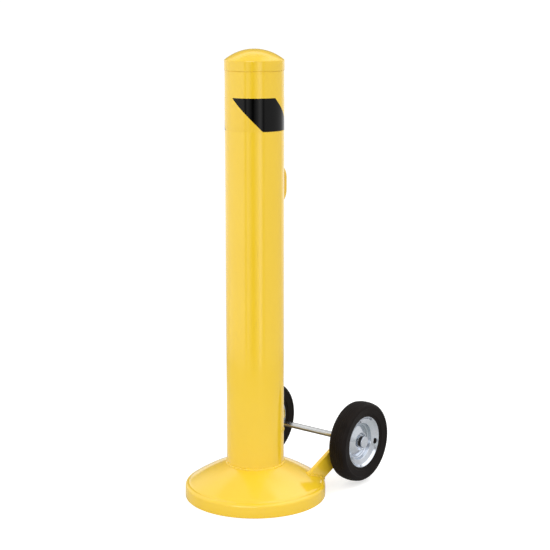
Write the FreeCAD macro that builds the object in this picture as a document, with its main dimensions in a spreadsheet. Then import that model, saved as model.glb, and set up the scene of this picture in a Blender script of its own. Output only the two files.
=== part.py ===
import FreeCAD, Part
import math
import os
import Sketcher
from FreeCAD import Placement, Rotation, Vector

# Movable steel safety bollard: a capped yellow post on a weighted round base, with a grab handle,
# a warning band and two transport wheels that touch the ground when the post is tilted back.
# Frame: origin at the centre of the base's underside, +Z up, +Y from the post towards the wheels,
# +X along the axle. Lengths are in millimetres and angles in degrees.

DRIVING_DIMENSIONS = [
    ("post_radius", 69.85, "outside radius of a 139.7 mm tube"),
    ("post_wall", 4.8, "wall of the post's tube"),
    ("post_top", 1038, "height of the tube's upper end"),
    ("rim_radius", 172.6, "outside radius of the base"),
    ("rim_height", 30, "height of the base's upright side before rounding"),
    ("rim_round", 9, "rounding of the base's upper edge"),
    ("dome_top", 84.7, "height where the dome meets the post"),
    ("dome_radius", 475, "radius of the dome's profile"),
    ("shell_wall", 5, "sheet of the pressed base shell"),
    ("shell_drop", 5.5, "upright distance from the dome's upper edge to its lower face"),
    ("plate_height", 5, "thickness of the plate that closes the base"),
    ("weld_leg", 4.5, "leg of the fillet welds"),
    ("weld_toe", 1.1, "depth of the post weld's toe below the dome's upper edge"),
    ("cap_radius", 70.9, "outside radius of the cap's skirt"),
    ("cap_skirt", 24.2, "height of the skirt above the seam"),
    ("cap_rise", 25.8, "rise of the crown above the skirt"),
    ("cap_wall", 3, "sheet of the cap"),
    ("cap_spigot", 30, "depth of the cap's spigot in the tube"),
    ("cap_gap", 0.08, "radial running clearance of the spigot"),
    ("seam_bevel", 0.6, "bevel on both sides of the cap's seam"),
    ("band_bottom", 900, "lower edge of the warning band"),
    ("band_height", 76.9, "height of the warning band"),
    ("band_film", 0.2, "thickness of the band's film"),
    ("stripe_film", 0.15, "thickness of a black stripe"),
    ("stripe_gap", 0.01, "glue line under a black stripe"),
    ("stripe_start", -97.5, "direction of the first stripe's upper left corner"),
    ("stripe_count", 2, "black stripes around the band"),
    ("handle_bar", 6.35, "radius of the handle's round bar"),
    ("handle_low", 715, "height of the handle's lower leg"),
    ("handle_high", 807, "height of the handle's upper leg"),
    ("handle_reach", 112.8, "distance of the grip from the post's centre"),
    ("handle_bend", 32, "centreline radius of the handle's bends"),
    ("handle_root", 60, "where the legs start before they are trimmed to the post"),
    ("axle_back", 225.7, "distance of the axle behind the post's centre"),
    ("axle_height", 109, "height of the axle"),
    ("axle_radius", 7.5, "radius of the axle"),
    ("arm_inside", 106, "distance of an arm's inner face from the middle"),
    ("arm_wall", 9.5, "thickness of an arm"),
    ("arm_width", 48.5, "width of an arm's flat bar"),
    ("arm_over_axle", 12.7, "distance from the axle's centre to the arm's upper edge"),
    ("arm_slope", 23, "rise of an arm towards the axle"),
    ("arm_tail", 13, "length of an arm behind the axle"),
    ("arm_corner", 6.3, "rounding of an arm's rear corners"),
    ("arm_run", 180, "length of an arm before it is trimmed to the base"),
    ("arm_bore", 7.65, "radius of an arm's axle hole"),
    ("wheel_track", 151.3, "distance of a wheel's middle plane from the middle"),
    ("tyre_radius", 100.8, "outside radius of a tyre"),
    ("tyre_half", 24.2, "half the width of a tyre"),
    ("tyre_widest", 90.9, "radius where a tyre is widest"),
    ("shoulder_half", 18.6, "half the width of the tread between its shoulders"),
    ("shoulder_radius", 98, "distance of the shoulders from the wheel's axis"),
    ("shoulder_round", 8, "radius of a shoulder's profile"),
    ("side_round", 60, "radius of a side wall's profile"),
    ("bead_out", 18.1, "distance of a side wall's foot from the wheel's middle plane"),
    ("bead_radius", 65.6, "distance of a side wall's foot from the wheel's axis"),
    ("lip_radius", 64.7, "outside radius of a rim's lip"),
    ("lip_out", 17, "distance of the lips from the wheel's middle plane"),
    ("rim_sheet", 1.5, "sheet of the rims"),
    ("rim_joint", -5.5, "place of the plane where the rim halves meet"),
    ("web_radius", 44.3, "radius of the rim's flat web"),
    ("step_low_out", 6.2, "distance of the step's upper bend from the middle plane"),
    ("step_low_radius", 46.3, "radius of the step's upper bend"),
    ("step_high_out", 10.9, "distance of the wall's outer bend from the middle plane"),
    ("step_high_radius", 58.6, "radius of the wall's outer bend"),
    ("foot_radius", 41, "radius where the boss rises from the web"),
    ("boss_radius", 23.3, "outside radius of the boss's edge"),
    ("boss_out", 7, "distance of the boss's edge from the wheel's middle plane"),
    ("throat_depth", 7, "depth of the hollow between the boss and the hub's tube"),
    ("throat_radius", 18, "radius of the hollow's floor"),
    ("hub_radius", 15.5, "outside radius of the hub's tube"),
    ("hub_bore", 13, "bore of the hub's tube"),
    ("hub_outer", 7.5, "outer end of the hub's tube"),
    ("hub_inner", -31, "inner end of the hub's tube"),
    ("bush_bore", 7.55, "bore of the bushes, which run on the axle"),
    ("bush_flange", 13.8, "radius of a bush's collar"),
    ("collar_outer", 5.5, "length of the outer bush's collar"),
    ("collar_inner", 2, "length of the inner bush's collar"),
    ("bush_depth", 14, "depth of a bush in the hub"),
    ("washer_bore", 7.8, "bore of the washers"),
    ("washer_radius", 13, "outside radius of the washers"),
    ("washer_wall", 2, "thickness of a washer"),
    ("end_play", 0.2, "axial play on each side of a washer"),
    ("clip_radius", 14.8, "outside radius of a push-on axle cap"),
    ("clip_height", 3.4, "height of a push-on axle cap"),
    ("clip_sheet", 0.8, "sheet of a push-on axle cap"),
    ("vent_width", 7, "width of the slot in a rim's wall"),
    ("vent_length", 15, "length of the slot in a rim's wall"),
    ("vent_radius", 57, "distance of the slot from the wheel's axis"),
    ("wheel_roll", 12, "angle of the slots below the level of the axle at rest"),
]

# A half-round slot end is drawn as an arc whose diameter is this much over the slot's width.
ARC_SLACK = 0.002

# Two edges count as the same where their radius and height differ by less than this.
EDGE_MATCH = 0.01

doc = FreeCAD.newDocument("safety_bollard")
pieces = []


# ---- the spreadsheet -------------------------------------------------------------------------

def make_sheet():
    """The spreadsheet holds one driving dimension a row: its name, its value and what it is."""
    table = doc.addObject("Spreadsheet::Sheet", "sizes")
    for row, (name, value, meaning) in enumerate(DRIVING_DIMENSIONS, start=1):
        table.set(f"A{row}", name)
        table.set(f"B{row}", str(value))
        table.set(f"C{row}", meaning)
        table.setAlias(f"B{row}", name)
    doc.recompute()
    return table


sheet = make_sheet()


def value_of(expression):
    """The number that an expression on the spreadsheet's cells gives now."""
    return float(sheet.evalExpression(expression))


def keep(piece, label):
    """Names a finished piece and lists it for export."""
    piece.Label = label
    pieces.append(piece)
    return piece


# ---- sketches and features ---------------------------------------------------------------------

def new_sketch(body, name, role):
    """An empty sketch on one of the body's own origin planes."""
    planes = [item for item in body.Origin.OriginFeatures if item.Role == role]
    sketch = body.newObject("Sketcher::SketchObject", name)
    sketch.AttachmentSupport = [(planes[0], "")]
    sketch.MapMode = "FlatFace"
    return sketch


def bind(sketch, index, expression):
    """Drives one constraint of a sketch from the spreadsheet."""
    sketch.setExpression(f"Constraints[{index}]", expression)


def arc_between(start, end, radius, turn):
    """The shorter arc from start to end, turning left where turn is 1 and right where it is -1."""
    chord = end - start
    square = Vector(-chord.y, chord.x, 0).normalize()
    half = chord.Length / 2
    sagitta = radius - math.sqrt(radius ** 2 - half ** 2)
    middle = start + chord * 0.5 - square * (sagitta * turn)
    return Part.Arc(start, middle, end)


def draw_outline(sketch, corners, closed=True):
    """Draws an outline whose corners are pairs of expressions. A corner with a radius and a turn
    after them starts an arc, and every other corner starts a straight line."""
    points = [Vector(value_of(corner[0]), value_of(corner[1]), 0) for corner in corners]
    count = len(corners) if closed else len(corners) - 1
    first_ends = []
    last_ends = []
    for place in range(count):
        corner = corners[place]
        start = points[place]
        end = points[(place + 1) % len(points)]
        if len(corner) == 2:
            edge = sketch.addGeometry(Part.LineSegment(start, end), False)
            ends = (1, 2)
        else:
            turn = corner[3]
            edge = sketch.addGeometry(arc_between(start, end, value_of(corner[2]), turn), False)
            ends = (1, 2) if turn > 0 else (2, 1)
            radius = sketch.addConstraint(Sketcher.Constraint("Radius", edge, value_of(corner[2])))
            bind(sketch, radius, corner[2])
        first_ends.append((edge, ends[0]))
        last_ends.append((edge, ends[1]))
    for place in range(count if closed else count - 1):
        following = first_ends[(place + 1) % count]
        sketch.addConstraint(Sketcher.Constraint("Coincident", *last_ends[place], *following))
    fixed = first_ends if closed else first_ends + [last_ends[-1]]
    for corner, point, vertex in zip(corners, points, fixed):
        across = sketch.addConstraint(Sketcher.Constraint("DistanceX", -1, 1, *vertex, point.x))
        bind(sketch, across, corner[0])
        upward = sketch.addConstraint(Sketcher.Constraint("DistanceY", -1, 1, *vertex, point.y))
        bind(sketch, upward, corner[1])


def draw_circle(sketch, across, upward, radius):
    """Draws a circle whose centre and radius are expressions."""
    centre = Vector(value_of(across), value_of(upward), 0)
    circle = Part.Circle(centre, Vector(0, 0, 1), value_of(radius))
    edge = sketch.addGeometry(circle, False)
    for kind, expression in (("DistanceX", across), ("DistanceY", upward)):
        number = sketch.addConstraint(
            Sketcher.Constraint(kind, -1, 1, edge, 3, value_of(expression)))
        bind(sketch, number, expression)
    size = sketch.addConstraint(Sketcher.Constraint("Radius", edge, value_of(radius)))
    bind(sketch, size, radius)


def turned_body(name, corners, axis):
    """A body turned from one outline: about the upright axis (V_Axis) or the axle's (H_Axis)."""
    body = doc.addObject("PartDesign::Body", name)
    sketch = new_sketch(body, name + "_outline", "XZ_Plane")
    draw_outline(sketch, corners)
    turning = body.newObject("PartDesign::Revolution", name + "_turning")
    turning.Profile = sketch
    turning.ReferenceAxis = (sketch, [axis])
    turning.Angle = 360
    sketch.Visibility = False
    doc.recompute()
    return body


def ring_edges(shape, radius, height):
    """The names of a turned shape's circular edges that have this radius and height."""
    names = []
    for number, edge in enumerate(shape.Edges, start=1):
        if not hasattr(edge.Curve, "Radius"):
            continue
        same_radius = abs(edge.Curve.Radius - radius) < EDGE_MATCH
        if same_radius and abs(edge.Curve.Center.z - height) < EDGE_MATCH:
            names.append(f"Edge{number}")
    return names


def cut(name, base, tool):
    """What is left of base once tool is taken away."""
    result = doc.addObject("Part::Cut", name)
    result.Base = base
    result.Tool = tool
    return result


def common(name, base, tool):
    """What base and tool both fill."""
    result = doc.addObject("Part::Common", name)
    result.Base = base
    result.Tool = tool
    return result


def fuse(name, shapes):
    """Several shapes as one; solids that do not touch stay separate."""
    result = doc.addObject("Part::MultiFuse", name)
    result.Shapes = shapes
    return result


def place_at(piece, across, back, upward):
    """Puts a piece's own origin at a place given by three expressions."""
    for letter, expression in (("x", across), ("y", back), ("z", upward)):
        piece.setExpression(f"Placement.Base.{letter}", expression)


# ---- the base ----------------------------------------------------------------------------------

def base_envelope(name, growth):
    """The base's outer form as one full solid, grown by an expression, to trim other pieces."""
    rim = f"sizes.rim_radius + {growth}"
    corners = [
        ("0", "0"),
        (rim, "0"),
        (rim, f"sizes.rim_height + {growth}", "sizes.dome_radius", 1),
        ("sizes.post_radius", f"sizes.dome_top + {growth}"),
        ("0", f"sizes.dome_top + {growth}"),
    ]
    body = turned_body(name, corners, "V_Axis")
    round_rim(body, value_of(rim), value_of(f"sizes.rim_height + {growth}"))
    return body


def round_rim(body, radius, height):
    """Rounds the upper outer edge of the base."""
    turned = body.Tip
    rounding = body.newObject("PartDesign::Fillet", body.Name + "_rounding")
    rounding.Base = (turned, ring_edges(turned.Shape, radius, height))
    rounding.setExpression("Radius", "sizes.rim_round")
    doc.recompute()


def make_base():
    """The pressed shell, the plate that closes it from below and the ballast between them."""
    inside = "sizes.rim_radius - sizes.shell_wall"
    shoulder = "sizes.rim_height - sizes.shell_wall / 2"
    under_dome = "sizes.dome_top - sizes.shell_drop"
    inner_radius = "sizes.dome_radius - sizes.shell_wall"
    shell = turned_body("shell", [
        (inside, "0"),
        ("sizes.rim_radius", "0"),
        ("sizes.rim_radius", "sizes.rim_height", "sizes.dome_radius", 1),
        ("sizes.post_radius", "sizes.dome_top"),
        ("sizes.post_radius", under_dome, inner_radius, -1),
        (inside, shoulder),
    ], "V_Axis")
    round_rim(shell, value_of("sizes.rim_radius"), value_of("sizes.rim_height"))
    keep(shell, "base_shell")

    plate = turned_body("plate", [
        ("0", "0"),
        (inside, "0"),
        (inside, "sizes.plate_height"),
        ("0", "sizes.plate_height"),
    ], "V_Axis")
    keep(plate, "base_plate")

    ballast = turned_body("ballast", [
        ("sizes.post_radius", "sizes.plate_height"),
        (inside, "sizes.plate_height"),
        (inside, shoulder, inner_radius, 1),
        ("sizes.post_radius", under_dome),
    ], "V_Axis")
    keep(ballast, "ballast")


# ---- the post and its cap ----------------------------------------------------------------------

def make_post():
    """The tube stands on the base plate, runs through the shell and is bevelled at its upper end."""
    inside = "sizes.post_radius - sizes.post_wall"
    tube = turned_body("tube", [
        (inside, "sizes.plate_height"),
        ("sizes.post_radius", "sizes.plate_height"),
        ("sizes.post_radius", "sizes.post_top - sizes.seam_bevel"),
        ("sizes.post_radius - sizes.seam_bevel", "sizes.post_top"),
        (inside, "sizes.post_top"),
    ], "V_Axis")
    keep(tube, "post_tube")


def make_post_weld(envelope):
    """The fillet weld between the post and the dome, trimmed to the dome."""
    ring = turned_body("post_weld_ring", [
        ("sizes.post_radius", "sizes.dome_top - sizes.weld_leg"),
        ("sizes.post_radius + sizes.weld_leg", "sizes.dome_top - sizes.weld_leg"),
        ("sizes.post_radius + sizes.weld_leg", "sizes.dome_top - sizes.weld_toe"),
        ("sizes.post_radius", "sizes.dome_top + sizes.weld_leg"),
    ], "V_Axis")
    keep(cut("post_weld_trimmed", ring, envelope), "post_weld")


def sphere_radius(edge, rise):
    """The radius of an arc that rises this much over half its chord, both expressions."""
    return f"(({edge})^2 + ({rise})^2) / (2 * ({rise}))"


def make_cap():
    """The domed cap: a crown, a skirt that sits on the tube's end and a spigot inside the tube."""
    skirt_top = "sizes.post_top + sizes.cap_skirt"
    spigot = "sizes.post_radius - sizes.post_wall - sizes.cap_gap"
    bore = spigot + " - sizes.cap_wall"
    outer_crown = sphere_radius("sizes.cap_radius", "sizes.cap_rise")
    inner_crown = sphere_radius(bore, "sizes.cap_rise - sizes.cap_wall / 2")
    cap = turned_body("cap", [
        ("sizes.cap_radius - sizes.seam_bevel", "sizes.post_top"),
        ("sizes.cap_radius", "sizes.post_top + sizes.seam_bevel"),
        ("sizes.cap_radius", skirt_top, outer_crown, 1),
        ("0", skirt_top + " + sizes.cap_rise"),
        ("0", skirt_top + " + sizes.cap_rise - sizes.cap_wall", inner_crown, -1),
        (bore, skirt_top + " - sizes.cap_wall / 2"),
        (bore, "sizes.post_top - sizes.cap_spigot"),
        (spigot, "sizes.post_top - sizes.cap_spigot"),
        (spigot, "sizes.post_top"),
    ], "V_Axis")
    keep(cap, "post_cap")


# ---- the warning band --------------------------------------------------------------------------

def make_band():
    """The yellow reflective film around the post."""
    outside = "sizes.post_radius + sizes.band_film"
    band_top = "sizes.band_bottom + sizes.band_height"
    band = turned_body("band", [
        ("sizes.post_radius", "sizes.band_bottom"),
        (outside, "sizes.band_bottom"),
        (outside, band_top),
        ("sizes.post_radius", band_top),
    ], "V_Axis")
    keep(band, "warning_band")


def sector_wire(inner, outer, start, end, height):
    """The outline of a flat ring sector between two directions in degrees."""
    def at(radius, direction):
        angle = math.radians(direction)
        return Vector(radius * math.cos(angle), radius * math.sin(angle), height)

    middle = (start + end) / 2
    return Part.Wire([
        Part.Arc(at(inner, start), at(inner, middle), at(inner, end)).toShape(),
        Part.LineSegment(at(inner, end), at(outer, end)).toShape(),
        Part.Arc(at(outer, end), at(outer, middle), at(outer, start)).toShape(),
        Part.LineSegment(at(outer, start), at(inner, start)).toShape(),
    ])


def make_stripes():
    """Black stripes whose ends climb the band at 45 degrees. Each is a ring sector swept straight
    up while it turns, so it is made by Part's own sweep with a helix as its guide."""
    inner = value_of("sizes.post_radius + sizes.band_film + sizes.stripe_gap")
    outer = inner + value_of("sizes.stripe_film")
    bottom = value_of("sizes.band_bottom")
    height = value_of("sizes.band_height")
    count = int(value_of("sizes.stripe_count"))
    span = 180 / count
    climb = math.degrees(height / inner)
    spine = Part.Wire(Part.LineSegment(Vector(0, 0, bottom), Vector(0, 0, bottom + height)).toShape())
    guide = Part.makeHelix(2 * math.pi * inner, height, inner, 0, True)
    guide.translate(Vector(0, 0, bottom))
    solids = []
    for number in range(count):
        start = value_of("sizes.stripe_start") + climb + number * 360 / count
        sweep = Part.BRepOffsetAPI.MakePipeShell(spine)
        sweep.setAuxiliarySpine(Part.Wire(guide.Edges), True, 0)
        sweep.add(sector_wire(inner, outer, start, start + span, bottom))
        sweep.build()
        sweep.makeSolid()
        solids.append(sweep.shape())
    stripes = doc.addObject("Part::Feature", "stripes")
    stripes.Shape = Part.makeCompound(solids)
    keep(stripes, "band_stripes")


# ---- the grab handle ---------------------------------------------------------------------------

def post_cylinder(name, growth):
    """The post's outer form as a full cylinder, grown by an expression, to trim other pieces."""
    cylinder = doc.addObject("Part::Cylinder", name)
    cylinder.setExpression("Radius", f"sizes.post_radius + {growth}")
    cylinder.setExpression("Height", "sizes.post_top")
    return cylinder


def make_handle(post):
    """A round bar bent to a U, its legs trimmed to the post that they are welded to."""
    body = doc.addObject("PartDesign::Body", "handle_bar")
    path = new_sketch(body, "handle_path", "YZ_Plane")
    bend_start = "sizes.handle_reach - sizes.handle_bend"
    draw_outline(path, [
        ("sizes.handle_root", "sizes.handle_low"),
        (bend_start, "sizes.handle_low", "sizes.handle_bend", 1),
        ("sizes.handle_reach", "sizes.handle_low + sizes.handle_bend"),
        ("sizes.handle_reach", "sizes.handle_high - sizes.handle_bend", "sizes.handle_bend", 1),
        (bend_start, "sizes.handle_high"),
        ("sizes.handle_root", "sizes.handle_high"),
    ], closed=False)
    section = new_sketch(body, "handle_section", "XZ_Plane")
    section.setExpression("AttachmentOffset.Base.z", "-sizes.handle_root")
    draw_circle(section, "0", "sizes.handle_low", "sizes.handle_bar")
    doc.recompute()
    pipe = body.newObject("PartDesign::AdditivePipe", "handle_pipe")
    pipe.Profile = section
    pipe.Spine = (path, [f"Edge{number}" for number in range(1, path.GeometryCount + 1)])
    doc.recompute()
    keep(cut("handle_trimmed", body, post), "grab_handle")
    return body


def make_handle_welds(post, grown_post, handle):
    """A weld collar around each leg: the grown leg inside the grown post, less both pieces."""
    legs = []
    for name, height in (("low", "sizes.handle_low"), ("high", "sizes.handle_high")):
        leg = doc.addObject("Part::Cylinder", f"weld_{name}")
        leg.setExpression("Radius", "sizes.handle_bar + sizes.weld_leg")
        leg.setExpression("Height", "sizes.handle_reach")
        leg.Placement = Placement(Vector(0, 0, 0), Rotation(Vector(1, 0, 0), -90))
        place_at(leg, "0", "0", height)
        legs.append(leg)
    blank = common("handle_weld_blank", fuse("grown_legs", legs), grown_post)
    bare = cut("handle_weld_on_post", blank, post)
    keep(cut("handle_weld_trimmed", bare, handle), "handle_welds")


# ---- the axle's arms ---------------------------------------------------------------------------

def arm_body(name, inner_face):
    """A flat bar with rounded rear corners and an axle hole, drawn along its own length with the
    axle's centre as its origin."""
    body = doc.addObject("PartDesign::Body", name)
    sketch = new_sketch(body, name + "_outline", "YZ_Plane")
    corner = "sizes.arm_tail - sizes.arm_corner"
    under = "sizes.arm_over_axle - sizes.arm_width"
    draw_outline(sketch, [
        ("-sizes.arm_run", under),
        (corner, under, "sizes.arm_corner", 1),
        ("sizes.arm_tail", under + " + sizes.arm_corner"),
        ("sizes.arm_tail", "sizes.arm_over_axle - sizes.arm_corner", "sizes.arm_corner", 1),
        (corner, "sizes.arm_over_axle"),
        ("-sizes.arm_run", "sizes.arm_over_axle"),
    ])
    draw_circle(sketch, "0", "0", "sizes.arm_bore")
    pad = body.newObject("PartDesign::Pad", name + "_pad")
    pad.Profile = sketch
    pad.setExpression("Length", "sizes.arm_wall")
    body.Placement = Placement(Vector(0, 0, 0), Rotation(Vector(1, 0, 0), value_of("sizes.arm_slope")))
    place_at(body, inner_face, "sizes.axle_back", "sizes.axle_height")
    doc.recompute()
    return body


def make_arms(envelope, grown_envelope):
    """The two arms that carry the axle, trimmed to the base, and the weld collar around each."""
    collars = []
    for side, inner_face in (
        ("right", "sizes.arm_inside"),
        ("left", "-sizes.arm_inside - sizes.arm_wall"),
    ):
        bar = arm_body(f"bar_{side}", inner_face)
        keep(cut(f"arm_trimmed_{side}", bar, envelope), f"arm_{side}")
        block = doc.addObject("Part::Box", f"arm_block_{side}")
        block.setExpression("Length", "sizes.arm_wall + 2 * sizes.weld_leg")
        block.setExpression("Width", "sizes.arm_run")
        block.setExpression("Height", "sizes.arm_width + 2 * sizes.weld_leg")
        slope = Rotation(Vector(1, 0, 0), value_of("sizes.arm_slope"))
        run = -value_of("sizes.arm_run")
        under = value_of("sizes.arm_over_axle - sizes.arm_width - sizes.weld_leg")
        axle = Vector(0, value_of("sizes.axle_back"), value_of("sizes.axle_height"))
        block.Placement = Placement(axle + slope.multVec(Vector(0, run, under)), slope)
        block.setExpression("Placement.Base.x", f"{inner_face} - sizes.weld_leg")
        skin = common(f"arm_weld_blank_{side}", block, grown_envelope)
        bare = cut(f"arm_weld_on_base_{side}", skin, envelope)
        collars.append(cut(f"arm_weld_{side}", bare, bar))
    keep(fuse("arm_weld_collars", collars), "arm_welds")


# ---- the axle and what holds the wheels on it ----------------------------------------------------

def on_both_sides(name, corners, label):
    """The same turned piece outside each wheel or arm, as two solids in one node. The outline is
    drawn from the middle of the axle outwards."""
    solids = []
    for side, turn in (("right", 0), ("left", 180)):
        body = turned_body(f"{name}_{side}", corners, "H_Axis")
        body.Placement = Placement(Vector(0, 0, 0), Rotation(Vector(0, 0, 1), turn))
        place_at(body, "0", "sizes.axle_back", "sizes.axle_height")
        solids.append(body)
    keep(fuse(name + "_pair", solids), label)


def washer_corners(start):
    """A washer's outline from the place of its inner face."""
    end = f"{start} + sizes.washer_wall"
    return [
        (start, "sizes.washer_bore"),
        (end, "sizes.washer_bore"),
        (end, "sizes.washer_radius"),
        (start, "sizes.washer_radius"),
    ]


def make_axle_set():
    """The axle, the washers on both sides of each wheel and the push-on caps on the axle's ends."""
    outer_end = "sizes.wheel_track + sizes.hub_outer + sizes.collar_outer"
    inner_end = "sizes.wheel_track + sizes.hub_inner - sizes.collar_inner"
    clip_start = f"{outer_end} + 2 * sizes.end_play + sizes.washer_wall"
    clip_end = f"{clip_start} + sizes.clip_height"
    axle_end = f"{clip_end} - 2 * sizes.clip_sheet"
    clip_inside = "sizes.clip_radius - sizes.clip_sheet"

    axle = doc.addObject("Part::Cylinder", "axle")
    axle.setExpression("Radius", "sizes.axle_radius")
    axle.setExpression("Height", f"2 * ({axle_end})")
    axle.Placement = Placement(Vector(0, 0, 0), Rotation(Vector(0, 1, 0), 90))
    place_at(axle, f"-({axle_end})", "sizes.axle_back", "sizes.axle_height")
    keep(axle, "axle")

    on_both_sides("inner_washer", washer_corners(
        f"{inner_end} - sizes.end_play - sizes.washer_wall"), "inner_washers")
    on_both_sides("outer_washer", washer_corners(f"{outer_end} + sizes.end_play"), "outer_washers")
    on_both_sides("axle_cap", [
        (clip_start, "sizes.axle_radius"),
        (f"{clip_start} + sizes.clip_sheet", "sizes.axle_radius"),
        (f"{clip_start} + sizes.clip_sheet", clip_inside),
        (f"{clip_end} - sizes.clip_sheet", clip_inside),
        (f"{clip_end} - sizes.clip_sheet", "0"),
        (clip_end, "0"),
        (clip_end, "sizes.clip_radius - sizes.clip_sheet", "sizes.clip_sheet", 1),
        (f"{clip_end} - sizes.clip_sheet", "sizes.clip_radius"),
        (clip_start, "sizes.clip_radius"),
    ], "axle_caps")


# ---- the wheels ----------------------------------------------------------------------------------

def place_wheel_piece(body, side):
    """A wheel's pieces are drawn with the wheel's middle plane at 0 and its outer face towards +X,
    and the slots at +Y before the wheel is rolled."""
    turn = 0 if side == "right" else 180
    sign = "" if side == "right" else "-"
    roll = Rotation(Vector(1, 0, 0), -value_of("sizes.wheel_roll"))
    body.Placement = Placement(Vector(0, 0, 0), Rotation(Vector(0, 0, 1), turn) * roll)
    place_at(body, f"{sign}sizes.wheel_track", "sizes.axle_back", "sizes.axle_height")


# How far the back of each bend lies behind its hollow face, along the axle and away from it, in
# thicknesses of the sheet, so that the sheet keeps its thickness around the bend.
THROAT_BACK = (1, 0.6)
BOSS_BACK = (1, -0.33)
WEB_BACK = (1, 0.75)
FOOT_BACK = (1, -0.3)
STEP_BACK = (0.85, 0.7)


def rim_places(towards):
    """Names the places along a rim half's sheet, each as its axial place and its radius on the
    hollow face. A rim half faces outwards where towards is 1 and inwards where it is -1."""
    web = f"(sizes.rim_joint + {towards} * sizes.rim_sheet)"
    boss = f"({web} + {towards} * (sizes.boss_out - sizes.rim_joint - sizes.rim_sheet))"
    throat = f"({boss} - {towards} * sizes.throat_depth)"
    return {
        "hub": (throat, "sizes.hub_radius"),
        "throat": (throat, "sizes.throat_radius"),
        "boss_inner": (boss, "sizes.boss_radius - sizes.rim_sheet"),
        "boss_outer": (boss, "sizes.boss_radius"),
        "boss_foot": (web, "sizes.foot_radius"),
        "web_edge": (web, "sizes.web_radius"),
        "step_low": (f"{towards} * sizes.step_low_out", "sizes.step_low_radius"),
        "step_high": (f"{towards} * sizes.step_high_out", "sizes.step_high_radius"),
    }


def behind(place, towards, shares):
    """The point behind a place of the sheet, moved by shares of the sheet's thickness."""
    across, radius = place
    along, outward = shares
    return (
        f"{across} - {towards} * {along} * sizes.rim_sheet",
        f"{radius} + {outward} * sizes.rim_sheet",
    )


def rim_seat(towards):
    """The points that a tyre and a rim half share, from the tyre's bore up to the lip."""
    places = rim_places(towards)
    return [
        behind(places["step_low"], towards, STEP_BACK),
        behind(places["step_high"], towards, STEP_BACK),
        (f"{towards} * (sizes.lip_out - sizes.rim_sheet)", "sizes.lip_radius"),
    ]


def make_rim_half(side, towards, label):
    """One pressed rim half: hollow boss, web, stepped wall and lip, with a slot in its wall."""
    places = rim_places(towards)
    lip = f"{towards} * sizes.lip_out"
    hollow_face = list(places.values()) + [
        (lip, "sizes.lip_radius - sizes.rim_sheet"),
        (lip, "sizes.lip_radius"),
    ]
    back_face = [
        behind(places["hub"], towards, (1, 0)),
        behind(places["throat"], towards, THROAT_BACK),
        behind(places["boss_outer"], towards, BOSS_BACK),
        behind(places["boss_foot"], towards, FOOT_BACK),
        behind(places["web_edge"], towards, WEB_BACK),
    ]
    corners = hollow_face + list(reversed(back_face + rim_seat(towards)))
    body = turned_body(label + "_body", corners, "H_Axis")
    slot = new_sketch(body, label + "_slot", "YZ_Plane")
    inner_edge = "sizes.vent_radius - sizes.vent_width / 2"
    outer_edge = "sizes.vent_radius + sizes.vent_width / 2"
    half_length = "sizes.vent_length / 2 - sizes.vent_width / 2"
    rounding = f"(sizes.vent_width + {ARC_SLACK}) / 2"
    draw_outline(slot, [
        (outer_edge, f"-({half_length})"),
        (outer_edge, half_length, rounding, 1),
        (inner_edge, half_length),
        (inner_edge, f"-({half_length})", rounding, 1),
    ])
    solid_volume = body.Shape.Volume
    pocket = body.newObject("PartDesign::Pocket", label + "_vent")
    pocket.Profile = slot
    pocket.Type = "ThroughAll"
    pocket.Midplane = True
    doc.recompute()
    if body.Shape.Volume >= solid_volume:
        raise RuntimeError(f"the slot cuts nothing from {label}")
    place_wheel_piece(body, side)
    keep(body, label)


def make_tyre(side):
    """A solid rubber tyre: crowned tread, round shoulders, full side walls and a seat on the rim."""
    crown_rise = "(sizes.tyre_radius - sizes.shoulder_radius)"
    tread_round = sphere_radius("sizes.shoulder_half", crown_rise)
    corners = rim_seat(1) + [
        ("sizes.bead_out", "sizes.bead_radius", "sizes.side_round", 1),
        ("sizes.tyre_half", "sizes.tyre_widest", "sizes.shoulder_round", 1),
        ("sizes.shoulder_half", "sizes.shoulder_radius", tread_round, 1),
        ("-sizes.shoulder_half", "sizes.shoulder_radius", "sizes.shoulder_round", 1),
        ("-sizes.tyre_half", "sizes.tyre_widest", "sizes.side_round", 1),
        ("-sizes.bead_out", "sizes.bead_radius"),
    ] + list(reversed(rim_seat(-1)))
    body = turned_body(f"tyre_{side}_body", corners, "H_Axis")
    place_wheel_piece(body, side)
    keep(body, f"tyre_{side}")


def make_hub(side):
    """The hub's tube with a collared bush in each end; the bushes run on the axle."""
    tube = turned_body(f"hub_{side}_body", [
        ("sizes.hub_inner", "sizes.hub_bore"),
        ("sizes.hub_outer", "sizes.hub_bore"),
        ("sizes.hub_outer", "sizes.hub_radius"),
        ("sizes.hub_inner", "sizes.hub_radius"),
    ], "H_Axis")
    place_wheel_piece(tube, side)
    keep(tube, f"hub_tube_{side}")
    for end, towards in (("outer", 1), ("inner", -1)):
        mouth = f"sizes.hub_{end}"
        face = f"{mouth} + {towards} * sizes.collar_{end}"
        bush = turned_body(f"bush_{end}_{side}_body", [
            (f"{mouth} - {towards} * sizes.bush_depth", "sizes.bush_bore"),
            (face, "sizes.bush_bore"),
            (face, "sizes.bush_flange"),
            (mouth, "sizes.bush_flange"),
            (mouth, "sizes.hub_bore"),
            (f"{mouth} - {towards} * sizes.bush_depth", "sizes.hub_bore"),
        ], "H_Axis")
        place_wheel_piece(bush, side)
        keep(bush, f"bush_{end}_{side}")


def make_wheel(side):
    """One wheel: tyre, two rim halves and the hub."""
    make_tyre(side)
    make_rim_half(side, 1, f"rim_outer_{side}")
    make_rim_half(side, -1, f"rim_inner_{side}")
    make_hub(side)


# ---- the whole bollard -----------------------------------------------------------------------------

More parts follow.
